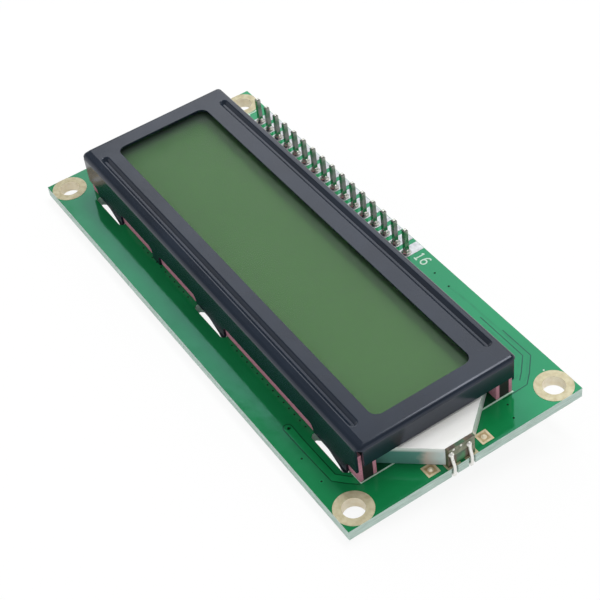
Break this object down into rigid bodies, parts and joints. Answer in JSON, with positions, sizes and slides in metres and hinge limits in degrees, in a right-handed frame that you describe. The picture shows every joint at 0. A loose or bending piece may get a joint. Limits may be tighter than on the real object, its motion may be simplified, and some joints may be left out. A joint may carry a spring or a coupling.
{
  "type": "character lcd module",
  "caption": "Liquid-crystal character display: glass cell in a folded black steel bezel on a green circuit board, with side lamp and pin header.",
  "frame": {"origin": "centre of the four mounting holes, on the board's front face", "axes": "+Z out of the display, +X towards the lamp end, +Y towards the pin header"},
  "size_m": [0.0802, 0.036, 0.0141],
  "materials": {
    "black_elastomer": "matt",
    "black_plastic": "glass-filled nylon, matt",
    "black_resin": "cured epoxy, satin",
    "black_steel": "satin black paint",
    "carrier_board": "green board, matt",
    "cell_glass": "clear, polished",
    "cell_seal": "cured adhesive",
    "clear_guide": "clear moulded acrylic, polished",
    "dark_ceramic": "glazed top, tinned ends",
    "gilt_copper": "thin gold on copper, satin",
    "green_board": "glossy green solder mask on glass-epoxy board",
    "liquid_crystal": "thin clear fluid",
    "pink_foam": "matt silicone foam",
    "plated_brass": "thin gold plate, bright",
    "polariser_film": "smooth green-grey film",
    "tan_ceramic": "matt body, tinned ends",
    "tinned_solder": "solder, bright",
    "tinned_wire": "tinned, bright",
    "white_film": "white film",
    "white_resin": "moulded white resin"
  },
  "bodies": {
    "root": {"backlight_pad_1": "gilt_copper", "backlight_pad_2": "gilt_copper", "bezel": "black_steel", "cell_seal": "cell_seal", "chip_capacitors": "tan_ceramic", "chip_resistors": "dark_ceramic", "circuit_board": "green_board", "controller_blob": "black_resin", "diffuser_film": "white_film", "driver_blob": "black_resin", "far_contact_fingers": "gilt_copper", "far_zebra_core": "black_elastomer", "far_zebra_inner_foam": "pink_foam", "far_zebra_outer_foam": "pink_foam", "front_glass": "cell_glass", "front_polariser": "polariser_film", "header_pads": "tinned_solder", "header_pin_01": "plated_brass", "header_pin_02": "plated_brass", "header_pin_03": "plated_brass", "header_pin_04": "plated_brass", "header_pin_05": "plated_brass", "header_pin_06": "plated_brass", "header_pin_07": "plated_brass", "header_pin_08": "plated_brass", "header_pin_09": "plated_brass", "header_pin_10": "plated_brass", "header_pin_11": "plated_brass", "header_pin_12": "plated_brass", "header_pin_13": "plated_brass", "header_pin_14": "plated_brass", "header_pin_15": "plated_brass", "header_pin_16": "plated_brass", "header_solder": "tinned_solder", "header_strip": "black_plastic", "hole_plating_1": "gilt_copper", "hole_plating_2": "gilt_copper", "hole_plating_3": "gilt_copper", "hole_plating_4": "gilt_copper", "lamp_carrier": "carrier_board", "lamp_emitter": "white_resin", "lamp_lead_1": "tinned_wire", "lamp_lead_2": "tinned_wire", "lamp_solder_1": "tinned_solder", "lamp_solder_2": "tinned_solder", "light_guide": "clear_guide", "liquid_crystal": "liquid_crystal", "near_contact_fingers": "gilt_copper", "near_zebra_core": "black_elastomer", "near_zebra_inner_foam": "pink_foam", "near_zebra_outer_foam": "pink_foam", "rear_glass": "cell_glass", "rear_polariser": "polariser_film", "reflector_film": "white_film"}
  },
  "joints": []
}
